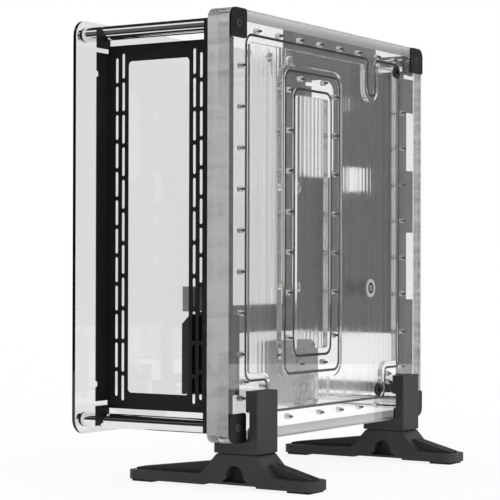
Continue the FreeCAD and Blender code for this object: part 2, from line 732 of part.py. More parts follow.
def tray_rail():
    """Cross rail from the tray's lower corner to the front bracket, stepping over the module."""
    arm = MODULE_FRONT + MODULE_D + RAIL_ARM
    end = TRAY_LEFT + TRAY_MARGIN - STANDOFF_ACROSS
    rise_low = MODULE_HIGH + RAIL_CLEAR
    rise_high = rise_low + RAIL_RISE_H
    high = TRAY_LOW + RAIL_H
    points = [(arm, TRAY_LOW), (end, TRAY_LOW), (end, high), (arm + RAIL_SLOPE, high)]
    points += [(arm, rise_high), (MODULE_FRONT, rise_high), (MODULE_FRONT, rise_low), (arm, rise_low)]
    shape = prism_y(points, [0.0] * len(points), TRAY_FACE, TRAY_FACE + TRAY_T)
    fold = (TRAY_FACE, TRAY_FACE + TRAY_FLANGE)
    return shape.fuse(block((MODULE_FRONT, MODULE_FRONT + TRAY_T), fold, (rise_low, rise_high)))


def standoff(x, z):
    """Hexagonal threaded spacer on the tray."""
    end = TRAY_FACE + STANDOFF_H
    shape = hexagon_y(x, z, STANDOFF_ACROSS / math.sqrt(3.0), TRAY_FACE, end)
    return shape.cut(cylinder_y(x, z, STANDOFF_HOLE_R, TRAY_FACE, end))


def standoffs():
    """Nine spacers on the standard full-size board grid."""
    first_x, first_z = REAR_FACE - BOARD_HOLE_REAR, PLATE_TOP - BOARD_HOLE_DROP
    return [standoff(first_x - dx, first_z - dz) for dx in BOARD_HOLE_X for dz in BOARD_HOLE_Z]


# Front connector module

def socket_list():
    """Width, height and centre height of each connector opening."""
    listed = [(USB_A[0], USB_A[1], MODULE_HIGH - drop) for drop in USB_A_DROPS]
    return listed + [(USB_C[0], USB_C[1], MODULE_HIGH - USB_C_DROP)]


def module_housing():
    """Moulded box on the inner face of the front bracket, open towards it."""
    points = [(MODULE_NEAR, MODULE_LOW), (MODULE_FAR, MODULE_LOW), (MODULE_FAR, MODULE_HIGH - MODULE_CHAMFER)]
    points += [(MODULE_FAR - MODULE_CHAMFER, MODULE_HIGH), (MODULE_NEAR, MODULE_HIGH)]
    shape = prism_x(points, [0.0] * len(points), MODULE_FRONT, MODULE_FRONT + MODULE_D)
    hollow_x = (MODULE_FRONT, MODULE_FRONT + MODULE_D - MODULE_WALL)
    hollow_depths = (MODULE_NEAR + MODULE_WALL, MODULE_FAR - MODULE_CHAMFER - MODULE_WALL)
    return shape.cut(block(hollow_x, hollow_depths, (MODULE_LOW + MODULE_WALL, MODULE_HIGH - MODULE_WALL)))


def module_board():
    """Circuit board on two pillars, with a switch under each button."""
    margin = 2.0 * MODULE_WALL
    depths = (MODULE_NEAR + margin, MODULE_FAR - MODULE_CHAMFER - margin)
    shape = block((BOARD_FACE, BOARD_FACE + BOARD_T), depths, (MODULE_LOW + margin, MODULE_HIGH - margin))
    back = MODULE_FRONT + MODULE_D - MODULE_WALL
    for z in (MODULE_LOW + 3.0 * margin, MODULE_HIGH - 3.0 * margin):
        shape = shape.fuse(cylinder_x(depths[1] - margin, z, MODULE_WALL, BOARD_FACE + BOARD_T, back))
    half = SWITCH_SIZE / 2.0
    for z, travel in ((POWER_Z, POWER_TRAVEL), (RESET_Z, RESET_TRAVEL)):
        switch_x = (button_end() + travel + BUTTON_CLEAR, BOARD_FACE)
        switch_depths = (CONTROL_DEPTH - half, CONTROL_DEPTH + half)
        shape = shape.fuse(block(switch_x, switch_depths, (z - half, z + half)))
    return shape


def button_end():
    """X of a released button's inner end."""
    return MODULE_FRONT + BUTTON_CLEAR + BUTTON_COLLAR_T + SWITCH_SIZE


def button(z, radius):
    """Push button with a collar behind the web that keeps it in."""
    behind = MODULE_FRONT + BUTTON_CLEAR
    shape = cylinder_x(CONTROL_DEPTH, z, radius, FRONT_WEB - BUTTON_PROUD, button_end())
    return shape.fuse(cylinder_x(CONTROL_DEPTH, z, radius + BUTTON_COLLAR, behind, behind + BUTTON_COLLAR_T))


def connector(width, height, z):
    """Shrouded socket that stands on the board and ends flush with the web."""
    depths = (CONTROL_DEPTH - width / 2.0, CONTROL_DEPTH + width / 2.0)
    heights = (z - height / 2.0, z + height / 2.0)
    shape = block((FRONT_WEB, BOARD_FACE), depths, heights)
    inner_depths = (depths[0] + SOCKET_WALL, depths[1] - SOCKET_WALL)
    inner_z = (heights[0] + SOCKET_WALL, heights[1] - SOCKET_WALL)
    cavity = FRONT_WEB + SOCKET_CAVITY
    shape = shape.cut(block((FRONT_WEB, cavity), inner_depths, inner_z))
    tongue_depths = (CONTROL_DEPTH - SOCKET_WALL / 2.0, CONTROL_DEPTH + SOCKET_WALL / 2.0)
    tongue_z = (inner_z[0] + SOCKET_WALL, inner_z[1] - SOCKET_WALL)
    return shape.fuse(block((FRONT_WEB + SOCKET_WALL, cavity), tongue_depths, tongue_z))


# Pump

def pump_outline(inset, depth_from, depth_to):
    """Rounded block of the pump's outline, taller above the impeller's axis than below."""
    half = PUMP_W / 2.0 - inset
    heights = (PUMP_Z - PUMP_BELOW + inset, PUMP_Z + PUMP_ABOVE - inset)
    points = rectangle(PUMP_X - half, PUMP_X + half, *heights)
    return prism_y(points, [PUMP_CORNER_R - inset] * 4, depth_from, depth_to)


def pump_screw_places():
    """X and Z of the four screws that hold the pump to the plate."""
    half = PUMP_W / 2.0 - PUMP_SCREW_INSET
    heights = (PUMP_Z - PUMP_BELOW + PUMP_SCREW_INSET, PUMP_Z + PUMP_ABOVE - PUMP_SCREW_INSET)
    return [(PUMP_X + side * half, z) for side in (-1.0, 1.0) for z in heights]


def pump_screw_holes(depth_from, depth_to):
    """Cutters for the pump's screws between two depths."""
    return [cylinder_y(x, z, PUMP_SCREW_R, depth_from, depth_to) for x, z in pump_screw_places()]


def pump_motor():
    """Closed motor case that covers the pocket in the plate, with a fixed pivot pin."""
    shape = pump_outline(MOTOR_INSET, PUMP_FACE, MOTOR_END)
    rim = [edge for edge in shape.Edges if edge.BoundBox.YMin > at_depth(MOTOR_END) - TOUCHING]
    shape = shape.makeChamfer(MOTOR_CHAMFER, rim)
    shape = shape.fuse(pump_outline(0.0, PUMP_FACE, PUMP_FACE + PUMP_RIM_T))
    shape = shape.fuse(cylinder_y(PUMP_X, PUMP_Z, PIVOT_R, VOLUTE_FACE + RUN_CLEAR, PUMP_FACE))
    return shape.cut(pump_screw_holes(PUMP_FACE, MOTOR_END))


def pump_screw(x, z):
    """Long screw through the pump into the back of the plate."""
    head = cylinder_y(x, z, PUMP_SCREW_HEAD_R, MOTOR_END, MOTOR_END + PUMP_SCREW_HEAD_T)
    return head.fuse(cylinder_y(x, z, PUMP_SCREW_R, PLATE_T - PUMP_SCREW_BITE, MOTOR_END))


def pump_impeller():
    """Open impeller: a disc with a bored hub and straight blades on the inlet side."""
    disc_back = PLATE_T - RUN_CLEAR
    disc_front = disc_back - IMPELLER_DISC_T
    blade_front = disc_front - IMPELLER_BLADE_H
    shape = cylinder_y(PUMP_X, PUMP_Z, IMPELLER_R, disc_front, disc_back)
    shape = shape.fuse(cylinder_y(PUMP_X, PUMP_Z, IMPELLER_HUB_R, blade_front, disc_front))
    half = IMPELLER_BLADE_T / 2.0
    blade_x = (PUMP_X, PUMP_X + IMPELLER_R - RUN_CLEAR)
    blade = block(blade_x, (blade_front, disc_front), (PUMP_Z - half, PUMP_Z + half))
    for index in range(IMPELLER_BLADES):
        turned = blade.copy()
        turned.rotate(FreeCAD.Vector(PUMP_X, 0, PUMP_Z), ALONG_Y, 360.0 / IMPELLER_BLADES * index)
        shape = shape.fuse(turned)
    return shape.cut(cylinder_y(PUMP_X, PUMP_Z, PIVOT_R + PIVOT_CLEAR, blade_front, disc_back))


# Feet

def cylinder_at_foot(x, radius, low, high):
    """Upright cylinder on a foot's bolt axis, in the middle of the plate's core."""
    base = FreeCAD.Vector(x, at_depth(FOOT_BOLT_DEPTH), low)
    return Part.makeCylinder(radius, high - low, base, ALONG_Z)


def foot_saddle(x):
    """Angle block that the plate stands in, with a relief low on its upright."""
    front = -SADDLE_FRONT_T
    relief_top = PLATE_BOTTOM + SADDLE_RELIEF_RISE
    points = [(front, STAND_TOP), (SADDLE_REACH, STAND_TOP), (SADDLE_REACH, PLATE_BOTTOM)]
    points += [(-SADDLE_RELIEF, PLATE_BOTTOM), (-SADDLE_RELIEF, relief_top)]
    points += [(-JOINT_GAP, relief_top), (-JOINT_GAP, SADDLE_TOP), (front, SADDLE_TOP)]
    shape = prism_x(points, [0.0] * len(points), x - FOOT_W / 2.0, x + FOOT_W / 2.0)
    front_edges = [edge for edge in shape.Edges if edge.BoundBox.YMax < at_depth(front) + TOUCHING]
    tall_edges = [edge for edge in front_edges if edge.BoundBox.ZLength > SADDLE_RISE]
    low_edges = [edge for edge in shape.Edges if edge.BoundBox.ZMax < STAND_TOP + TOUCHING]
    shape = shape.makeFillet(SADDLE_EDGE_R, tall_edges + low_edges)
    return shape.cut(cylinder_at_foot(x, FOOT_BOLT_R, STAND_TOP, PLATE_BOTTOM))


def skirt_outline():
    """Side outline of a stand's low skirt and its raised hub."""
    tip, root = PAD_T + SKIRT_TIP_H, PAD_T + SKIRT_ROOT_H
    hub_front, hub_back = HUB_INSET - SADDLE_FRONT_T, SADDLE_REACH - HUB_INSET
    points = [(-FOOT_FRONT, PAD_T), (FOOT_BACK, PAD_T), (FOOT_BACK, tip), (hub_back + HUB_SLOPE_RUN, root)]
    points += [(hub_back, STAND_TOP), (hub_front, STAND_TOP)]
    points += [(hub_front - HUB_SLOPE_RUN, root), (-FOOT_FRONT, tip)]
    radii = [0.0, 0.0, SKIRT_EDGE_R, HUB_BLEND_R, 0.0, 0.0, HUB_BLEND_R, SKIRT_EDGE_R]
    return points, radii


def spine_runs():
    """Tip and root of the raised spine on the front and the back arm."""
    front = (SPINE_INSET - FOOT_FRONT, -SADDLE_FRONT_T - HUB_SLOPE_RUN / 2.0)
    back = (FOOT_BACK - SPINE_INSET, SADDLE_REACH + HUB_SLOPE_RUN / 2.0)
    return front, back


def arm_spine(x, tip, root):
    """Raised spine of one arm, its top grooved into ribs."""
    low = PAD_T + SKIRT_TIP_H / 2.0
    tip_z, root_z = PAD_T + SPINE_TIP_H, PAD_T + SPINE_ROOT_H
    side = SPINE_W / 2.0
    inner = (tip + root) / 2.0 + (root - tip)
    points = [(tip, low), (inner, low), (inner, root_z), (root, root_z), (tip, tip_z)]
    shape = prism_x(points, [0.0] * len(points), x - side, x + side)
    groove = [(tip, tip_z - RIB_DEPTH), (root, root_z - RIB_DEPTH), (root, STAND_TOP), (tip, STAND_TOP)]
    for index in range(1, RIB_COUNT):
        centre = x - side + index * SPINE_W / RIB_COUNT
        shape = shape.cut(prism_x(groove, [0.0] * 4, centre - RIB_GAP / 2.0, centre + RIB_GAP / 2.0))
    return shape


def arch_outline():
    """Outline of the bell-shaped pocket in a stand's side."""
    points = []
    for side in (-1.0, 1.0):
        run = [(ARCH_CENTRE + side * ARCH_HALF, ARCH_TOP), (ARCH_CENTRE + side * ARCH_HALF, ARCH_SHOULDER)]
        run.append((ARCH_CENTRE + side * ARCH_FOOT_HALF, ARCH_SILL))
        points += run if side < 0 else run[::-1]
    return points, [ARCH_HALF, ARCH_FLARE_R, 0.0, 0.0, ARCH_FLARE_R, ARCH_HALF]


def foot_stand(x):
    """Moulded stand: a hub, two arms with ribbed spines, and an arched pocket in each side."""
    points, radii = skirt_outline()
    half = FOOT_W / 2.0
    shape = prism_x(points, radii, x - half, x + half)
    hub_edges = [edge for edge in shape.Edges if edge.BoundBox.ZMin > STAND_TOP - TOUCHING]
    shape = shape.makeChamfer(HUB_CHAMFER, hub_edges)
    for tip, root in spine_runs():
        shape = shape.fuse(arm_spine(x, tip, root))
    plan_points = rectangle(x - half, x + half, at_depth(-FOOT_FRONT), at_depth(FOOT_BACK))
    plan = rounded_wire(plan_points, [STAND_END_R] * 4, lambda u, v: FreeCAD.Vector(u, v, 0.0))
    shape = shape.common(Part.Face(plan).extrude(ALONG_Z * STAND_TOP))
    arch_points, arch_radii = arch_outline()
    cutters = [block((x - half, x + half), SOLE_RUN, (PAD_T, PAD_T + SOLE_RISE))]
    for side in (-1.0, 1.0):
        run = sorted((x + side * ARCH_WALL / 2.0, x + side * half))
        cutters.append(prism_x(arch_points, arch_radii, *run))
    cutters.append(cylinder_at_foot(x, FOOT_BOLT_R, PAD_T, STAND_TOP))
    cutters.append(cylinder_at_foot(x, FOOT_BOLT_HEAD_R + BUTTON_CLEAR, PAD_T, FOOT_BOLT_SEAT))
    return shape.cut(cutters)


def foot_bolt(x):
    """Bolt that draws a stand and its saddle up against the plate's lower edge."""
    head = cylinder_at_foot(x, FOOT_BOLT_HEAD_R, FOOT_BOLT_SEAT - FOOT_BOLT_HEAD_T, FOOT_BOLT_SEAT)
    return head.fuse(cylinder_at_foot(x, FOOT_BOLT_R, FOOT_BOLT_SEAT, PLATE_BOTTOM + FOOT_BOLT_BITE))


def foot_pads(x):
    """Rubber pads under both ends of a stand."""
    half = FOOT_W / 2.0 - PAD_INSET
    starts = (PAD_INSET - FOOT_FRONT, FOOT_BACK - PAD_INSET - PAD_LENGTH)
    return [block((x - half, x + half), (start, start + PAD_LENGTH), (0.0, PAD_T)) for start in starts]


def build_plate():
    """Distribution plate, its seals and plugs, and the pump behind it."""
    save("plate_cover", plate_cover())
    save("plate_core", plate_core())
    for name, path in seal_paths().items():
        save(name, band(path, SEAL_W, COVER_T, CORE_FACE + SEAL_T))
    for name, place in service_ports().items():
        save(name, service_plug(*place))
    save("pump_motor", pump_motor())
    save("pump_screws", [pump_screw(x, z) for x, z in pump_screw_places()])
    save("pump_impeller", pump_impeller())


def build_corners():
    """Glass panel and everything on the four rod axes."""
    places = corner_places()
    names = ("front_lower", "front_upper", "rear_lower", "rear_upper")
    for name, (x, z) in zip(names, places):
        save("corner_cap_" + name, corner_cap(x, z))
        save("rod_" + name, rod(x, z))
    washer_start = GLASS_DEPTH - WASHER_T
    glass_back = GLASS_DEPTH + GLASS_T
    save("corner_bolts", [corner_bolt(x, z) for x, z in places])
    save("rod_extensions", [tube(x, z, ROD_R, BOLT_R, FAR_FACE, washer_start) for x, z in places])
    save("inner_washers", [tube(x, z, ROD_R, BOLT_R, washer_start, GLASS_DEPTH) for x, z in places])
    outer_face = glass_back + OUTER_WASHER_T
    save("outer_washers", [tube(x, z, KNOB_R, BOLT_R, glass_back, outer_face) for x, z in places])
    save("thumb_screws", [knob(x, z) for x, z in places])
    save("glass_panel", panel(GLASS_CORNER_R, GLASS_DEPTH, glass_back))


def build_frame():
    """Sheet brackets, the tray and what they carry."""
    save("front_bracket", front_bracket())
    save("rear_bracket", rear_bracket())
    save("motherboard_tray", motherboard_tray())
    save("tray_rail", tray_rail())
    save("board_standoffs", standoffs())
    for index, z in enumerate(expansion_heights(), start=1):
        save("slot_cover_%d" % index, slot_cover(z))
    save("slot_cover_screws", [slot_cover_screw(z) for z in expansion_heights()])
    save("module_housing", module_housing())
    save("module_board", module_board())
    save("module_sockets", [connector(*entry) for entry in socket_list()])
    save("power_button", button(POWER_Z, POWER_R))
    save("reset_button", button(RESET_Z, RESET_R))


def build_feet():
    """Saddles, stands, pads and bolts."""
    for name, x in (("front", -FOOT_X), ("rear", FOOT_X)):
        save("foot_saddle_" + name, foot_saddle(x))
        save("foot_stand_" + name, foot_stand(x))
        save("foot_pads_" + name, foot_pads(x))
    save("foot_bolts", [foot_bolt(x) for x in (-FOOT_X, FOOT_X)])


os.makedirs("parts", exist_ok=True)
build_plate()
build_corners()
build_frame()
build_feet()
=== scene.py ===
"""Looks of an open-frame computer case: clear coolant plate, black sheet frame and tinted glass side."""
import logging
import math
from collections.abc import Iterable, Mapping, Sequence
from dataclasses import dataclass
from enum import Enum
from typing import Any

import bpy
import numpy as np
from mathutils import Matrix, Vector


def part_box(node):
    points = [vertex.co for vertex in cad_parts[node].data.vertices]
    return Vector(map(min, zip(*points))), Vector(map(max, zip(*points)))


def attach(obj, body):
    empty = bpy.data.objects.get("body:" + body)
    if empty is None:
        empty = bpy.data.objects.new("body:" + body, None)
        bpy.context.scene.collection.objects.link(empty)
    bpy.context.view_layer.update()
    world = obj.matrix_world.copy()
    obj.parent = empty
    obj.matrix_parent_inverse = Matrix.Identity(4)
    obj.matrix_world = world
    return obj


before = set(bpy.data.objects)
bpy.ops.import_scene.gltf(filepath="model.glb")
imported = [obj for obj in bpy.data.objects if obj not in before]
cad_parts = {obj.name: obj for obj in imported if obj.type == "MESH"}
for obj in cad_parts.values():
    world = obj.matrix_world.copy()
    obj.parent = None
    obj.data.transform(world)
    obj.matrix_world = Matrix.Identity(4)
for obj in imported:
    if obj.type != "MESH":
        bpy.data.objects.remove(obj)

LOG = logging.getLogger("computer_case")
MM = 0.001
CASE = "case"
NOISE_MEAN = 0.5
RAMP_ENDS = (0.3, 0.7)
SHARP_EDGE = math.radians(40.0)
Triple = tuple[float, float, float]
Colour = tuple[float, float, float]
Rgba = tuple[float, float, float, float]


def node_box(node: str) -> tuple[Triple, Triple]:
    """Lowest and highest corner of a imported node, in millimetres."""
    return tuple(tuple(round(length / MM, 3) for length in corner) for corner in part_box(node))


# The clear plate reaches from the cover's outer face to the core's back, in millimetres.
COVER_LOW = node_box("plate_cover")[0]
CORE_LOW, CORE_HIGH = node_box("plate_core")
PLATE_HALF: Triple = tuple((high - low) / 2.0 for low, high in zip(COVER_LOW, CORE_HIGH))
PLATE_MIDDLE: Triple = tuple((high + low) / 2.0 for low, high in zip(COVER_LOW, CORE_HIGH))


def grey(tone: float, cool: float = 0.0) -> Colour:
    """Grey of the given tone with a little more blue."""
    return (tone, tone, tone + cool)


def rgba(colour: Colour) -> Rgba:
    """Colour with full opacity."""
    return (*colour, 1.0)


class Value:
    """Output socket of a shader node that takes part in Python arithmetic."""

    def __init__(self, shader: "Shader", socket: bpy.types.NodeSocket) -> None:
        """Keep the socket and the shader that owns it."""
        self.shader = shader
        self.socket = socket

    def _math(self, operation: str, first: "Value | float", second: "Value | float") -> "Value":
        """Result of a Math node with the given operation and operands."""
        return self.shader.node("ShaderNodeMath", {"operation": operation}, {0: first, 1: second})

    def __add__(self, other: "Value | float") -> "Value":
        """Sum."""
        return self._math("ADD", self, other)

    def __radd__(self, other: "Value | float") -> "Value":
        """Sum with a number on the left."""
        return self._math("ADD", other, self)

    def __sub__(self, other: "Value | float") -> "Value":
        """Difference."""
        return self._math("SUBTRACT", self, other)

    def __rsub__(self, other: "Value | float") -> "Value":
        """Difference from a number on the left."""
        return self._math("SUBTRACT", other, self)

    def __mul__(self, other: "Value | float") -> "Value":
        """Product."""
        return self._math("MULTIPLY", self, other)

    def __rmul__(self, other: "Value | float") -> "Value":
        """Product with a number on the left."""
        return self._math("MULTIPLY", other, self)

    def __pow__(self, other: "Value | float") -> "Value":
        """Power."""
        return self._math("POWER", self, other)

    def __abs__(self) -> "Value":
        """Size without sign."""
        return self._math("ABSOLUTE", self, 0.0)

    def above(self, limit: float) -> "Value":
        """One where the value is over a limit, else nought."""
        return self._math("GREATER_THAN", self, limit)


class Shader:
    """Node tree of one material."""

    def __init__(self, name: str) -> None:
        """Start an empty material.

        Args:
            name: name of the material.
        """
        self.material = bpy.data.materials.new(name)
        self.material.use_nodes = True
        self.tree = self.material.node_tree
        self.tree.nodes.clear()

    def node(
        self, kind: str, settings: Mapping[str, Any], inputs: Mapping[str | int, Any], output: str | int = 0,
    ) -> Value:
        """Add a node, set it up and feed it.

        Args:
            kind: Blender's name of the node type.
            settings: attributes to set first; the key "stops" holds a ramp's (place, colour) pairs.
            inputs: a number, colour or Value for each named or numbered socket.
            output: name or number of the socket to return.

        Returns:
            The chosen output.
        """
        node = self.tree.nodes.new(kind)
        for key, setting in settings.items():
            if key == "stops":
                for element, (place, colour) in zip(node.color_ramp.elements, setting):
                    element.position = place
                    element.color = rgba(colour)
            else:
                setattr(node, key, setting)
        for key, given in inputs.items():
            if isinstance(given, Value):
                self.tree.links.new(given.socket, node.inputs[key])
            else:
                node.inputs[key].default_value = given
        return Value(self, node.outputs[output])

    def place(self, stretch: Sequence[float] = (1.0, 1.0, 1.0)) -> Value:
        """Object coordinates in metres, stretched along each axis."""
        place = self.node("ShaderNodeTexCoord", {}, {}, "Object")
        return self.node("ShaderNodeMapping", {}, {"Vector": place, "Scale": tuple(stretch)})

    def axis(self, name: str) -> Value:
        """Object coordinate along the axis X, Y or Z, in metres."""
        place = self.node("ShaderNodeTexCoord", {}, {}, "Object")
        return self.node("ShaderNodeSeparateXYZ", {}, {"Vector": place}, name)

    def noise(self, size_mm: float, detail: float = 2.0, stretch: Sequence[float] = (1.0, 1.0, 1.0)) -> Value:
        """Noise about NOISE_MEAN of a feature size, with octaves of detail, on stretched coordinates."""
        inputs = {"Vector": self.place(stretch), "Scale": 1.0 / (size_mm * MM), "Detail": detail}
        return self.node("ShaderNodeTexNoise", {}, inputs, "Fac")

    def blend(self, factor: Value, low: Colour, high: Colour) -> Value:
        """Colour that goes from low to high while the factor crosses the ramp."""
        stops = tuple(zip(RAMP_ENDS, (low, high)))
        return self.node("ShaderNodeValToRGB", {"stops": stops}, {"Fac": factor})

    def bump(self, height: Value, depth_mm: float) -> Value:
        """Normal raised by a height from nought to one."""
        return self.node("ShaderNodeBump", {}, {"Height": height, "Distance": depth_mm * MM})

    def mix(self, share: Value | float, first: Value, second: Value) -> Value:
        """Shader with the given share of the second and the rest of the first."""
        return self.node("ShaderNodeMixShader", {}, {0: share, 1: first, 2: second})

    def output(self, surface: Value) -> None:
        """Send a shader to the material's surface."""
        end = self.tree.nodes.new("ShaderNodeOutputMaterial")
        self.tree.links.new(surface.socket, end.inputs["Surface"])

    def surface(self, inputs: Mapping[str, Any]) -> None:
        """Finish the material with one Principled shader fed by the given sockets."""
        self.output(self.node("ShaderNodeBsdfPrincipled", {}, inputs))


@dataclass(frozen=True)
class Finish:
    """Surface finish that makes one material."""

    name: str

    def material(self) -> bpy.types.Material:
        """Material of this finish, made on first use.

        Returns:
            The material, shared by all pieces of the finish.
        """
        title = f"{self.name}_finish"
        found = bpy.data.materials.get(title)
        if found is None:
            shader = Shader(title)
            self.paint(shader)
            found = shader.material
        return found

    def paint(self, shader: Shader) -> None:
        """Build the nodes; each finish has its own."""
        raise NotImplementedError


@dataclass(frozen=True)
class PowderCoat(Finish):
    """Textured coat of paint on metal: fine grain and faint clouds of tone."""

    dark: Colour
    light: Colour
    roughness: float = 0.5
    grain_mm: float = 0.9
    grain_depth_mm: float = 0.06
    shine: float = 0.4
    cloud_mm: float = 45.0
    grain_share: float = 0.6
    grain_gloss: float = 0.1
    cloud_gloss: float = 0.08

    def paint(self, shader: Shader) -> None:
        """Grain feeds the bump, and grain and clouds together feed colour and roughness.

        Args:
            shader: node tree to fill.
        """
        grain = shader.noise(self.grain_mm)
        clouds = shader.noise(self.cloud_mm, detail=3.0)
        tone = grain * self.grain_share + clouds * (1.0 - self.grain_share)
        uneven = (grain - NOISE_MEAN) * self.grain_gloss + (clouds - NOISE_MEAN) * self.cloud_gloss
        shader.surface({
            "Base Color": shader.blend(tone, self.dark, self.light),
            "Roughness": self.roughness + uneven,
            "Specular IOR Level": self.shine,
            "Normal": shader.bump(grain, self.grain_depth_mm),
        })


@dataclass(frozen=True)
class ClearAcrylic(Finish):
    """Thick cast acrylic: polished faces, satin sawn edges, finely milled pockets and a frosted band with
    painted shade and reflection along the back's edges.

    Lengths are in millimetres. The joint is the depth at which the two halves meet, and the pocket the depth
    from which the cover's pockets are seen through. A place within the skin of a face counts as on it.
    """

    tint: Colour
    smudge: Colour
    half: Triple
    middle: Triple
    joint: float
    pocket: float
    ior: float = 1.49
    skin: float = 0.25
    smudge_size: float = 30.0
    smudge_gloss: float = 0.02
    wave_size: float = 120.0
    wave_share: float = 0.1
    pass_size: float = 7.0
    pass_stretch: Triple = (1.0, 1.0, 0.01)
    pass_depth: float = 0.32
    pass_gain: float = 2.6
    pass_loss: float = 0.6
    milled: float = 0.2
    sawn: float = 0.45
    saw_size: float = 8.0
    saw_stretch: Triple = (1.0, 0.08, 1.0)
    saw_marks: float = 1.1
    haze: float = 0.5
    core_haze: float = 0.25
    bridge_margin: float = 20.0
    bridge_lift: float = 0.05
    pocket_lift: float = 0.07
    # The back's band: a frosted strip whose grey is painted shade and reflection for a chamfer that is not
    # modelled, painted lighter towards the edge and in the lower band.
    band_height: float = 11.0
    band_skin: float = 0.2
    band_share: float = 0.85
    band_painted_shade: Colour = grey(0.48)
    band_painted_light: Colour = grey(1.0)
    band_tone: float = 0.3
    band_rise: float = 0.4
    band_painted_lower_light: float = 0.2

    @property
    def back(self) -> float:
        """Depth of the plate's back."""
        return self.middle[1] + self.half[1]

    def off_rim(self, shader: Shader, margin: float) -> Value:
        """Mark the places that are farther than a margin from the plate's rim.

        Args:
            shader: node tree to add to.
            margin: distance from the rim.

        Returns:
            One at those places, else nought.
        """
        inside = 1.0
        for index, name in ((0, "X"), (2, "Z")):
            away = abs(shader.axis(name) - self.middle[index] * MM)
            inside = inside * (1.0 - away.above((self.half[index] - margin) * MM))
        return inside

    def between(self, shader: Shader, low: float, high: float) -> Value:
        """One at places whose depth lies between two limits, else nought."""
        depth = shader.axis("Y")
        return depth.above(low * MM) * (1.0 - depth.above(high * MM))

    def frost(self, shader: Shader, colour: Value | Rgba) -> Value:
        """Frosted surface, which scatters light evenly to both of its sides.

        Args:
            shader: node tree to add to.
            colour: colour of the scattered light.

        Returns:
            The surface's shader.
        """
        diffuse = shader.node("ShaderNodeBsdfDiffuse", {}, {"Color": colour})
        translucent = shader.node("ShaderNodeBsdfTranslucent", {}, {"Color": colour})
        return shader.mix(0.5, diffuse, translucent)

    def painted_chamfer_band(self, shader: Shader) -> tuple[Value, Value]:
        """Frosted band along the upper and lower edges of the plate's back, whose grey is painted shade and
        reflection for a chamfer that is not modelled.

        Args:
            shader: node tree to add to.

        Returns:
            One in the band, and the band's surface, painted lighter towards the edge and in the lower band.
        """
        rise = shader.axis("Z") * (1.0 / MM) - self.middle[2]
        reach = (abs(rise) - (self.half[2] - self.band_height)) * (1.0 / self.band_height)
        band = reach.above(0.0) * self.between(shader, self.back - self.band_skin, self.back + self.band_skin)
        below = 1.0 - rise.above(0.0)
        # Painted light: the band's grey rises towards the edge and is lifted in the lower band.
        tone = self.band_tone + reach ** 2.0 * self.band_rise + below * self.band_painted_lower_light
        return band, self.frost(shader, shader.blend(tone, self.band_painted_shade, self.band_painted_light))

    def clear(self, shader: Shader, rim: Value) -> Value:
        """Clear body: the cutter's passes feed the bump, and smudges, sawn rim and passes the roughness.

        Args:
            shader: node tree to add to.
            rim: one on the plate's rim.

        Returns:
            The body's shader.
        """
        smudges = shader.noise(self.smudge_size, detail=4.0)
        waves = shader.noise(self.wave_size, detail=1.0)
        passes = shader.noise(self.pass_size, stretch=self.pass_stretch)
        cut = self.between(shader, self.joint + self.skin, self.back - self.skin)
        milling = (1.0 - rim) * cut * (passes * self.pass_gain - self.pass_loss) * self.milled
        return shader.node("ShaderNodeBsdfPrincipled", {}, {
            "Base Color": shader.blend(smudges, self.smudge, self.tint),
            "Roughness": smudges * self.smudge_gloss + rim * self.sawn + milling,
            "IOR": self.ior,
            "Transmission Weight": 1.0,
            "Normal": shader.bump(waves * self.wave_share + passes * cut, self.pass_depth),
        })

    def paint(self, shader: Shader) -> None:
        """The rim is hazy by the saw's marks, the back's band frosted with painted shade and reflection, and
        the cover's pockets seen through.

        Args:
            shader: node tree to fill.
        """
        rim = 1.0 - self.off_rim(shader, self.skin)
        sawing = shader.noise(self.saw_size, detail=4.0, stretch=self.saw_stretch) - NOISE_MEAN
        core = self.between(shader, self.joint, 0.0)
        share = self.haze + sawing * self.saw_marks + core * self.core_haze
        body = shader.mix(rim * share, self.clear(shader, rim), self.frost(shader, rgba(self.tint)))
        band, matt = self.painted_chamfer_band(shader)
        body = shader.mix(band * (1.0 - rim) * self.band_share, body, matt)
        pockets = self.between(shader, self.pocket, self.joint - self.pocket_lift)
        bridged = self.off_rim(shader, self.bridge_margin) * pockets
        shader.output(shader.mix(bridged, body, shader.node("ShaderNodeBsdfTransparent", {}, {})))

    def bridge(self) -> np.ndarray:
        """Flat inner face that bridges the cover's pockets: its middle, less or plus its reach along X and Z.

        Returns:
            The four corners in metres, in the order that faces the core.
        """
        reach = np.array([self.half[0] - self.bridge_margin, 0.0, self.half[2] - self.bridge_margin])
        signs = np.array([(-1.0, 0.0, -1.0), (-1.0, 0.0, 1.0), (1.0, 0.0, 1.0), (1.0, 0.0, -1.0)])
        middle = np.array([self.middle[0], self.joint - self.bridge_lift, self.middle[2]])
        return (middle + signs * reach) * MM


@dataclass(frozen=True)
class TintedGlass(Finish):
    """Grey glass pane whose cut edges look darker than its faces."""

    face: Colour
    edge: Colour
    ior: float = 1.5
    film_mm: float = 60.0
    film_tone: float = 0.05
    film_gloss: float = 0.015

    def paint(self, shader: Shader) -> None:
        """The normal's share along the pane's thickness parts faces from edges, under a faint film.

        Args:
            shader: node tree to fill.
        """
        normal = shader.node("ShaderNodeNewGeometry", {}, {}, "Normal")
        across = shader.node("ShaderNodeSeparateXYZ", {}, {"Vector": normal}, "Y")
        film = shader.noise(self.film_mm, detail=3.0)
        tone = abs(across) + (film - NOISE_MEAN) * self.film_tone
        shader.surface({
            "Base Color": shader.blend(tone, self.edge, self.face),
            "Roughness": film * self.film_gloss,
            "IOR": self.ior,
            "Transmission Weight": 1.0,
        })


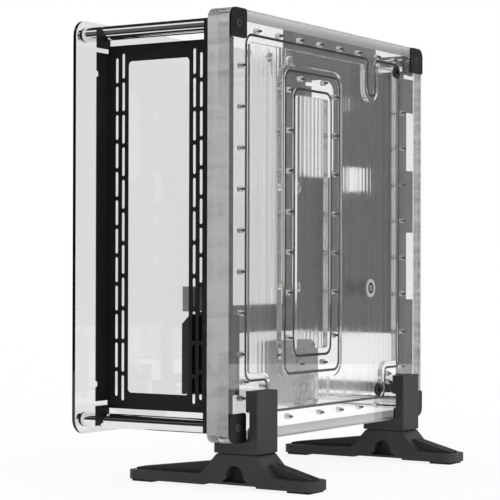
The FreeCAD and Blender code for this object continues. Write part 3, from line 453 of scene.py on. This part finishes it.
@dataclass(frozen=True)
class Metal(Finish):
    """Bare or plated metal with lines left by the tool and clouds in its gloss."""

    dark: Colour
    light: Colour
    roughness: float
    line_mm: float = 0.5
    line_depth_mm: float = 0.003
    stretch: Triple = (0.02, 1.0, 0.02)
    metallic: float = 1.0
    cloud_mm: float = 25.0
    line_share: float = 0.5
    even_gloss: float = 0.8
    cloud_gloss: float = 0.3
    line_gloss: float = 0.1

    def paint(self, shader: Shader) -> None:
        """Stretched noise makes the lines, and broad noise the clouds.

        Args:
            shader: node tree to fill.
        """
        lines = shader.noise(self.line_mm, stretch=self.stretch)
        clouds = shader.noise(self.cloud_mm, detail=3.0)
        tone = lines * self.line_share + clouds * (1.0 - self.line_share)
        uneven = self.even_gloss + clouds * self.cloud_gloss + lines * self.line_gloss
        shader.surface({
            "Base Color": shader.blend(tone, self.dark, self.light),
            "Metallic": self.metallic,
            "Roughness": uneven * self.roughness,
            "Normal": shader.bump(lines, self.line_depth_mm),
        })


@dataclass(frozen=True)
class RingedMetal(Finish):
    """Bright turned metal with one dark ring about a line along Y."""

    ring: Colour
    light: Colour
    roughness: float
    centre_mm: tuple[float, float]
    radii_mm: tuple[float, float]
    metallic: float = 0.4
    lines_per_m: float = 3000.0
    line_depth_mm: float = 0.004
    plain_tone: float = 0.55
    line_tone: float = 0.3
    line_gloss: float = 0.1

    def paint(self, shader: Shader) -> None:
        """The distance from the centre gives the ring and, by noise in it, the lines of the turning.

        Args:
            shader: node tree to fill.
        """
        run = shader.axis("X") - self.centre_mm[0] * MM
        height = shader.axis("Z") - self.centre_mm[1] * MM
        radius = (run ** 2.0 + height ** 2.0) ** 0.5
        ring = radius.above(self.radii_mm[0] * MM) * (1.0 - radius.above(self.radii_mm[1] * MM))
        inputs = {"W": radius, "Scale": self.lines_per_m}
        lines = shader.node("ShaderNodeTexNoise", {"noise_dimensions": "1D"}, inputs, "Fac")
        tone = (1.0 - ring) * (self.plain_tone + lines * self.line_tone)
        shader.surface({
            "Base Color": shader.blend(tone, self.ring, self.light),
            "Metallic": self.metallic,
            "Roughness": self.roughness + lines * self.line_gloss,
            "Normal": shader.bump(lines, self.line_depth_mm),
        })


@dataclass(frozen=True)
class Moulded(Finish):
    """Moulded plastic or rubber with a spark-eroded texture."""

    dark: Colour
    light: Colour
    roughness: float
    texture_mm: float = 0.6
    texture_depth_mm: float = 0.03
    cloud_mm: float = 30.0
    cloud_share: float = 0.7
    cloud_gloss: float = 0.1

    def paint(self, shader: Shader) -> None:
        """Rounded cells make the texture, and clouds the tone.

        Args:
            shader: node tree to fill.
        """
        inputs = {"Vector": shader.place(), "Scale": 1.0 / (self.texture_mm * MM)}
        cells = shader.node("ShaderNodeTexVoronoi", {"feature": "SMOOTH_F1"}, inputs, "Distance")
        clouds = shader.noise(self.cloud_mm, detail=3.0)
        tone = clouds * self.cloud_share + cells * (1.0 - self.cloud_share)
        shader.surface({
            "Base Color": shader.blend(tone, self.dark, self.light),
            "Roughness": self.roughness + (clouds - NOISE_MEAN) * self.cloud_gloss,
            "Normal": shader.bump(cells, self.texture_depth_mm),
        })


@dataclass(frozen=True)
class CircuitLaminate(Finish):
    """Coated circuit board with fine copper runs under the coat."""

    ground: Colour
    runs: Colour
    run_mm: float = 0.4
    run_depth_mm: float = 0.04
    cell_mm: tuple[float, float] = (7.0, 1.8)
    stagger: float = 0.3
    roughness: float = 0.35
    run_gloss: float = 0.1

    def paint(self, shader: Shader) -> None:
        """The joints of a brick pattern, turned into the board's plane, give the runs.

        Args:
            shader: node tree to fill.
        """
        turned = shader.node("ShaderNodeMapping", {}, {
            "Vector": shader.node("ShaderNodeTexCoord", {}, {}, "Object"),
            "Rotation": (0.0, math.pi / 2.0, 0.0),
        })
        runs = shader.node("ShaderNodeTexBrick", {"offset": self.stagger}, {
            "Vector": turned,
            "Scale": 1.0,
            "Mortar Size": self.run_mm * MM,
            "Brick Width": self.cell_mm[0] * MM,
            "Row Height": self.cell_mm[1] * MM,
        }, "Fac")
        shader.surface({
            "Base Color": shader.blend(runs, self.ground, self.runs),
            "Roughness": self.roughness + runs * self.run_gloss,
            "Normal": shader.bump(runs, self.run_depth_mm),
        })


class Looks(Enum):
    """Finishes of the case, each named for what it covers."""

    ACRYLIC = ClearAcrylic(
        "clear_acrylic", tint=(0.995, 0.998, 0.998), smudge=(0.985, 0.99, 0.99), half=PLATE_HALF,
        middle=PLATE_MIDDLE, joint=CORE_LOW[1], pocket=-64.7,
    )
    GLASS = TintedGlass("tinted_glass", face=(0.79, 0.795, 0.80), edge=(0.008, 0.009, 0.01))
    STEEL = PowderCoat("black_steel", grey(0.011, 0.0005), grey(0.019, 0.0005), shine=0.2)
    # Painted light: the tray, rear bracket and rail are the same black powder coat as the front bracket,
    # painted many times lighter to stand in for light they get behind the plate.
    TRAY_PAINTED_LIGHT = PowderCoat("inner_steel_painted_light", grey(0.085, 0.001), grey(0.12, 0.001), shine=0.2)
    RAIL_PAINTED_LIGHT = PowderCoat("rail_steel_painted_light", grey(0.2, 0.001), grey(0.26, 0.001), shine=0.2)
    FOOT = PowderCoat(
        "foot_black", grey(0.026, 0.001), grey(0.055, 0.001), roughness=0.55, grain_mm=0.7,
        grain_depth_mm=0.08,
    )
    CAP = Metal(
        "black_anodised", grey(0.027, 0.001), grey(0.042, 0.001), roughness=0.38, line_mm=0.4,
        line_depth_mm=0.004,
    )
    ROD = Metal(
        "black_chrome", grey(0.74, 0.01), grey(0.82, 0.01), roughness=0.08, line_mm=0.6, line_depth_mm=0.002,
        stretch=(1.0, 0.02, 1.0),
    )
    SCREW = Metal("black_screws", grey(0.05, 0.002), grey(0.09, 0.002), roughness=0.3)
    BOLT = Metal("corner_bolt_steel", grey(0.1, 0.002), grey(0.15, 0.002), roughness=0.3)
    PLUG = RingedMetal(
        "turned_plug", ring=grey(0.012), light=grey(0.62), roughness=0.3, centre_mm=(99.0, 236.0),
        radii_mm=(4.0, 7.5),
    )
    PLATED = Metal("steel_screws", grey(0.72, 0.01), grey(0.85, 0.01), roughness=0.14)
    SEAL = Moulded("seal_rubber", grey(0.007), grey(0.013), roughness=0.55)
    WASHER = Moulded("washer_rubber", grey(0.008), grey(0.015), roughness=0.65)
    PAD = Moulded(
        "pad_rubber", grey(0.012), grey(0.022), roughness=0.8, texture_mm=0.9, texture_depth_mm=0.05,
    )
    BRASS = Metal("standoff_brass", (0.62, 0.42, 0.16), (0.76, 0.55, 0.25), roughness=0.28)
    MODULE = Moulded("module_plastic", grey(0.012, 0.001), grey(0.022, 0.001), roughness=0.5)
    BOARD = CircuitLaminate("circuit_board", ground=(0.008, 0.008, 0.009), runs=(0.02, 0.021, 0.022))
    SOCKET = Metal("socket_steel", grey(0.55, 0.01), grey(0.68, 0.01), roughness=0.3, line_mm=0.3)
    BUTTON = Moulded("button_plastic", grey(0.016, 0.001), grey(0.028, 0.001), roughness=0.4, texture_mm=0.4)
    PUMP = Metal(
        "pump_silver", grey(0.66), grey(0.78), roughness=0.45, line_depth_mm=0.02, stretch=(1.0, 1.0, 1.0),
        metallic=0.3,
    )
    IMPELLER = Moulded("impeller_plastic", (0.6, 0.6, 0.59), (0.7, 0.7, 0.69), roughness=0.45)

    def dress(self, nodes: Iterable[str]) -> None:
        """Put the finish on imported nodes.

        Args:
            nodes: names of the nodes.
        """
        material = self.value.material()
        for name in nodes:
            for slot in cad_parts[name].material_slots:
                slot.material = material
            LOG.info("%s wears %s", name, self.value.name)


def add_piece(
    name: str, points: np.ndarray, faces: list[list[int]], look: Looks, body: str = CASE,
) -> bpy.types.Object:
    """Put a computed surface into the scene as a piece of the case.

    Args:
        name: name of the piece.
        points: array of places in metres, one row each.
        faces: corner numbers of each face.
        look: finish of the piece.
        body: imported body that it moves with.

    Returns:
        The new object.
    """
    mesh = bpy.data.meshes.new(name)
    mesh.from_pydata(points, [], faces)
    mesh.shade_smooth()
    mesh.set_sharp_from_angle(angle=SHARP_EDGE)
    mesh.materials.append(look.value.material())
    piece = bpy.data.objects.new(name, mesh)
    bpy.context.scene.collection.objects.link(piece)
    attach(piece, body)
    LOG.info("%s: %d faces", name, len(faces))
    return piece


def add_sheet(name: str, corners: np.ndarray, material: bpy.types.Material) -> bpy.types.Object:
    """Put a flat sheet into the scene as part of the stage.

    Args:
        name: name of the sheet.
        corners: its four corners in metres, one row each.
        material: what it is made of.

    Returns:
        The new object.
    """
    mesh = bpy.data.meshes.new(name)
    mesh.from_pydata(corners, [], [[0, 1, 2, 3]])
    mesh.materials.append(material)
    sheet = bpy.data.objects.new(name, mesh)
    bpy.context.scene.collection.objects.link(sheet)
    return sheet


def turned_along_y(
    profile: np.ndarray, centres: np.ndarray, segments: int,
) -> tuple[np.ndarray, list[list[int]]]:
    """Turn one profile about lines along Y through several centres.

    A point of a turned piece is its centre plus (radius times cosine, run, radius times sine), where the
    profile gives run and radius and the angle goes once round; flat faces close the first and last rings.

    Args:
        profile: rows of run along Y and radius, in metres.
        centres: places of the centres, one row each.
        segments: points round each ring.

    Returns:
        Places and faces of all the turned pieces.
    """
    angle = np.linspace(0.0, 2.0 * math.pi, segments, endpoint=False)
    run, radius = profile[:, 0, None], profile[:, 1, None]
    rings = np.stack(np.broadcast_arrays(radius * np.cos(angle), run, radius * np.sin(angle)), axis=-1)
    points = centres[:, None, None, :] + rings[None]
    step = np.arange(segments)
    ahead = np.roll(step, -1)
    row = np.arange(len(profile) - 1)[:, None] * segments
    following = row + segments
    quads = np.stack([row + step, row + ahead, following + ahead, following + step], axis=-1).reshape(-1, 4)
    ends = np.stack([step[::-1], (len(profile) - 1) * segments + step])
    start = np.arange(len(centres))[:, None, None] * rings[..., 0].size
    faces = (quads + start).reshape(-1, 4).tolist() + (ends + start).reshape(-1, segments).tolist()
    return points.reshape(-1, 3), faces


@dataclass
class DistributionPlate:
    """Clear plate of two halves, its seals, plugs and the screws that clamp the halves.

    Lengths are in millimetres: rows and edges count from the plate's front edge, columns and heights from the
    floor, and the screws' depths from the plate's outer face.
    """

    halves: tuple[str, ...] = ("plate_cover", "plate_core")
    seals: tuple[str, ...] = ("seal_outer", "seal_island", "seal_tank")
    stop_plug: str = "stop_plug"
    end_plugs: tuple[str, ...] = ("fill_plug", "drain_plug")
    top_row: tuple[float, ...] = (76.0, 126.0, 177.0, 227.0, 278.0, 328.0, 380.0, 429.0)
    top_z: float = 547.0
    left_column: tuple[float, ...] = (503.0, 454.0, 405.0, 356.0, 307.0, 258.0, 209.0, 160.0, 108.0)
    left_edge: float = 41.5
    right_column: tuple[float, ...] = (477.0, 428.0, 377.0, 328.0, 277.0, 227.0, 175.0, 127.0)
    right_edge: float = 453.0
    island_column: tuple[float, ...] = (176.0, 232.0, 282.0, 332.0, 383.0, 433.0, 483.0)
    island_edges: tuple[float, float] = (150.0, 264.0)
    island_ends: tuple[float, float] = (142.5, 499.0)
    island_end_edges: tuple[float, float] = (179.0, 237.0)
    bottom_row: tuple[float, ...] = (151.0, 229.0, 280.0, 333.0, 380.0)
    bottom_z: float = 79.0
    by_feet: tuple[tuple[float, float], ...] = ((48.5, 127.0), (91.0, 120.0), (412.0, 119.5), (415.0, 108.0))
    front_edge: float = PLATE_MIDDLE[0] - PLATE_HALF[0]
    outer_face: float = PLATE_MIDDLE[1] - PLATE_HALF[1]
    head_back: float = 29.5
    head_t: float = 4.5
    head_r: float = 3.1
    head_chamfer: float = 0.3
    recess_r: float = 1.5
    recess_t: float = 2.0
    shank_r: float = 1.5
    shank_tip: float = 6.0
    tip_r: float = 0.9
    tip_t: float = 0.8
    thread_end: float = 16.0
    bore_slack: float = 0.5
    bore_film: float = 0.2
    segments: int = 16

    def screw_places(self) -> np.ndarray:
        """Distance from the front edge and height of every clamping screw.

        Returns:
            One row for each screw.
        """
        rows = [(edge, self.top_z) for edge in self.top_row]
        rows += [(edge, self.bottom_z) for edge in self.bottom_row]
        rows += [(self.left_edge, height) for height in self.left_column]
        rows += [(self.right_edge, height) for height in self.right_column]
        rows += [(edge, height) for edge in self.island_edges for height in self.island_column]
        rows += [(edge, height) for edge in self.island_end_edges for height in self.island_ends]
        return np.array([*rows, *self.by_feet])

    def build(self) -> None:
        """Make the clamping screws, with heads in the back half, their bores and the cover's inner face."""
        edge, height = self.screw_places().T
        outer = np.full(len(edge), self.outer_face)
        centres = np.stack([self.front_edge + edge, outer, height], axis=-1) * MM
        thread = np.array([
            (self.shank_tip, self.tip_r),
            (self.shank_tip + self.tip_t, self.shank_r),
            (self.thread_end, self.shank_r),
        ])
        add_piece("plate_threads", *turned_along_y(thread * MM, centres, self.segments), Looks.SCREW)
        under = self.head_back - self.head_t
        head = np.array([
            (self.thread_end, self.shank_r),
            (under, self.shank_r),
            (under, self.head_r),
            (self.head_back - self.head_chamfer, self.head_r),
            (self.head_back, self.head_r - self.head_chamfer),
            (self.head_back, self.recess_r),
            (self.head_back - self.recess_t, self.recess_r),
        ])
        add_piece("plate_screws", *turned_along_y(head * MM, centres, self.segments), Looks.PLATED)
        bore = np.array([
            (self.thread_end + self.bore_slack, self.head_r + self.bore_slack),
            (self.head_back + self.bore_film, self.head_r + self.bore_slack),
        ])
        points, faces = turned_along_y(bore * MM, centres, self.segments)
        add_piece("screw_bores", points, [face[::-1] for face in faces], Looks.ACRYLIC)
        add_piece("cover_inner_face", Looks.ACRYLIC.value.bridge(), [[0, 1, 2, 3]], Looks.ACRYLIC)

    def dress(self) -> None:
        """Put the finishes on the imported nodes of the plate."""
        Looks.ACRYLIC.dress(self.halves)
        Looks.SEAL.dress(self.seals)
        Looks.CAP.dress(self.end_plugs)
        Looks.PLUG.dress([self.stop_plug])


@dataclass
class CornerFixings:
    """Caps, bolts, rods, washers and thumb screws at the four corners, and the pane that they hold."""

    corners: tuple[str, ...] = ("front_lower", "front_upper", "rear_lower", "rear_upper")

    def dress(self) -> None:
        """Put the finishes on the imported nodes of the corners."""
        Looks.CAP.dress([f"corner_cap_{corner}" for corner in self.corners])
        Looks.ROD.dress([f"rod_{corner}" for corner in self.corners] + ["rod_extensions", "thumb_screws"])
        Looks.BOLT.dress(["corner_bolts"])
        Looks.WASHER.dress(["inner_washers", "outer_washers"])
        Looks.GLASS.dress(["glass_panel"])


@dataclass
class SheetFrame:
    """Folded steel brackets, tray, rail, slot covers and standoffs."""

    inner: tuple[str, ...] = ("rear_bracket", "motherboard_tray")
    covers: int = 7

    def dress(self) -> None:
        """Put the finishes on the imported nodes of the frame."""
        Looks.STEEL.dress(["front_bracket", *(f"slot_cover_{index + 1}" for index in range(self.covers))])
        # The tray, rear bracket and rail wear lighter copies of the black coat, whose extra tone is painted
        # light.
        Looks.TRAY_PAINTED_LIGHT.dress(self.inner)
        Looks.RAIL_PAINTED_LIGHT.dress(["tray_rail"])
        Looks.SCREW.dress(["slot_cover_screws"])
        Looks.BRASS.dress(["board_standoffs"])


@dataclass
class ConnectorModule:
    """Small box of sockets and buttons behind the front bracket."""

    buttons: tuple[str, ...] = ("power_button", "reset_button")

    def dress(self) -> None:
        """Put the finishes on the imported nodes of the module."""
        Looks.MODULE.dress(["module_housing"])
        Looks.BOARD.dress(["module_board"])
        Looks.SOCKET.dress(["module_sockets"])
        Looks.BUTTON.dress(self.buttons)


@dataclass
class Pump:
    """Coolant pump on the back of the plate."""

    motor: str = "pump_motor"
    screws: str = "pump_screws"
    impeller: str = "pump_impeller"

    def dress(self) -> None:
        """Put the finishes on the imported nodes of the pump."""
        Looks.PUMP.dress([self.motor])
        Looks.PLATED.dress([self.screws])
        Looks.IMPELLER.dress([self.impeller])


@dataclass
class Feet:
    """Two feet, each of a saddle under the plate, a stand and a pair of pads."""

    ends: tuple[str, ...] = ("front", "rear")

    def dress(self) -> None:
        """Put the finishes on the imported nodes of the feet."""
        for part, look in (("foot_saddle", Looks.FOOT), ("foot_stand", Looks.FOOT), ("foot_pads", Looks.PAD)):
            look.dress([f"{part}_{end}" for end in self.ends])
        Looks.SCREW.dress(["foot_bolts"])


@dataclass(frozen=True)
class Card:
    """Grey sheet beside the set, in metres, that casts no shadow.

    It is seen in reflections, and through clear pieces where it says so, or it shades matt faces alone.
    """

    name: str
    corner: Triple
    across: Triple
    along: Triple
    tone: float
    through: bool = False
    shades: bool = False
    roughness: float = 0.9

    def build(self) -> None:
        """Put up the sheet: its corner plus nought or one times each of its two sides."""
        title = f"studio_{self.name}"
        shader = Shader(title)
        shader.surface({
            "Base Color": rgba(grey(self.tone)), "Roughness": self.roughness, "Specular IOR Level": 0.0,
        })
        steps = np.array([(0.0, 0.0), (1.0, 0.0), (1.0, 1.0), (0.0, 1.0)])
        corners = np.array(self.corner) + steps @ np.array([self.across, self.along])
        sheet = add_sheet(title, corners, shader.material)
        sheet.visible_camera = False
        sheet.visible_diffuse = self.shades
        sheet.visible_glossy = not self.shades
        sheet.visible_shadow = False
        sheet.visible_transmission = self.through


@dataclass
class Studio:
    """White surroundings, floor, cards and camera."""

    camera_mm: Triple = (-1984.0, -1190.75, 263.5)
    azimuth: float = -57.9
    pitch: float = 0.55
    roll: float = 0.14
    focal_px: float = 1776.0
    image_px: float = 500.0
    sensor_mm: float = 36.0
    sight_m: float = 60.0
    floor_half_m: float = 15.0
    floor_glow: float = 0.88
    floor_roughness: float = 0.85
    floor_cloud_mm: float = 400.0
    floor_cloud_gloss: float = 0.1
    white: Rgba = rgba(grey(1.0))
    bounces: int = 32
    cards: tuple[Card, ...] = (
        Card("flag", (1.618, -2.313, 0.0), (1.169, 1.864, 0.0), (0.0, 0.0, 1.6), 0.46, through=True),
        Card("wall", (-3.0, 0.05, 0.0), (1.545, 2.571, 0.0), (0.0, 0.0, 2.1), 0.12),
        Card("ceiling", (-1.2, -1.5, 2.6), (4.5, 0.0, 0.0), (0.0, 5.0, 0.0), 0.03),
        Card("outer_shelf", (-2.2, -0.2, 0.3), (1.58, 0.0, 0.0), (0.0, 1.9, 0.0), 0.03),
        Card("inner_shelf", (-0.46, -0.2, 0.3), (0.19, 0.0, 0.0), (0.0, 0.9, 0.0), 0.02),
        Card("side_shade", (-3.2, -1.6, 0.0), (0.0, 4.6, 0.0), (0.0, 0.0, 1.5), 0.05, shades=True),
    )

    def light(self) -> None:
        """Even white surroundings, which are the light and the background."""
        world = bpy.data.worlds.new("studio")
        bpy.context.scene.world = world
        world.use_nodes = True
        background = world.node_tree.nodes["Background"]
        background.inputs["Color"].default_value = self.white
        background.inputs["Strength"].default_value = 1.0
        cycles = bpy.context.scene.cycles
        cycles.max_bounces = self.bounces
        cycles.transmission_bounces = self.bounces
        cycles.transparent_max_bounces = self.bounces
        cycles.glossy_bounces = self.bounces // 2
        bpy.context.scene.view_settings.view_transform = "Standard"

    def lay_floor(self) -> None:
        """White floor, a flat square about the origin, that keeps a share of its shadow where it is seen."""
        shader = Shader("studio_floor")
        clouds = shader.noise(self.floor_cloud_mm)
        matt = shader.node("ShaderNodeBsdfPrincipled", {}, {
            "Base Color": self.white,
            "Roughness": self.floor_roughness + clouds * self.floor_cloud_gloss,
            "Specular IOR Level": 0.0,
        })
        glow = shader.node("ShaderNodeEmission", {}, {"Color": self.white, "Strength": 1.0})
        seen, mirrored, through = (
            shader.node("ShaderNodeLightPath", {}, {}, f"Is {ray} Ray")
            for ray in ("Camera", "Glossy", "Transmission")
        )
        shader.output(shader.mix((seen + mirrored + through) * self.floor_glow, matt, glow))
        signs = np.array([(-1.0, -1.0, 0.0), (1.0, -1.0, 0.0), (1.0, 1.0, 0.0), (-1.0, 1.0, 0.0)])
        add_sheet("studio_floor", signs * self.floor_half_m, shader.material)

    def aim_camera(self) -> None:
        """Camera level with the lower half of the case, seen from the front edge of the plate."""
        turn = math.radians(self.azimuth)
        forward = Vector((-math.sin(turn), math.cos(turn), 0.0))
        up = Vector((0.0, 0.0, 1.0))
        pose = Matrix((forward.cross(up), up, -forward)).transposed()
        pose = pose @ Matrix.Rotation(math.radians(self.pitch), 3, "X")
        pose = pose @ Matrix.Rotation(math.radians(self.roll), 3, "Z")
        data = bpy.data.cameras.new("studio_camera")
        data.sensor_width = self.sensor_mm
        data.lens = self.focal_px / self.image_px * self.sensor_mm
        data.clip_end = self.sight_m
        camera = bpy.data.objects.new("studio_camera", data)
        camera.matrix_world = Matrix.LocRotScale(Vector(self.camera_mm) * MM, pose.to_quaternion(), None)
        bpy.context.scene.collection.objects.link(camera)
        bpy.context.scene.camera = camera

    def build(self) -> None:
        """Light, floor, cards and camera."""
        self.light()
        self.lay_floor()
        for card in self.cards:
            card.build()
        self.aim_camera()


def main() -> None:
    """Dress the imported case, add the small pieces and set up the studio."""
    logging.basicConfig(level=logging.INFO, format="%(name)s: %(message)s")
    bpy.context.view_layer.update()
    plate = DistributionPlate()
    plate.build()
    for assembly in (plate, CornerFixings(), SheetFrame(), ConnectorModule(), Pump(), Feet()):
        assembly.dress()
    Studio().build()


if __name__ == "__main__":
    main()
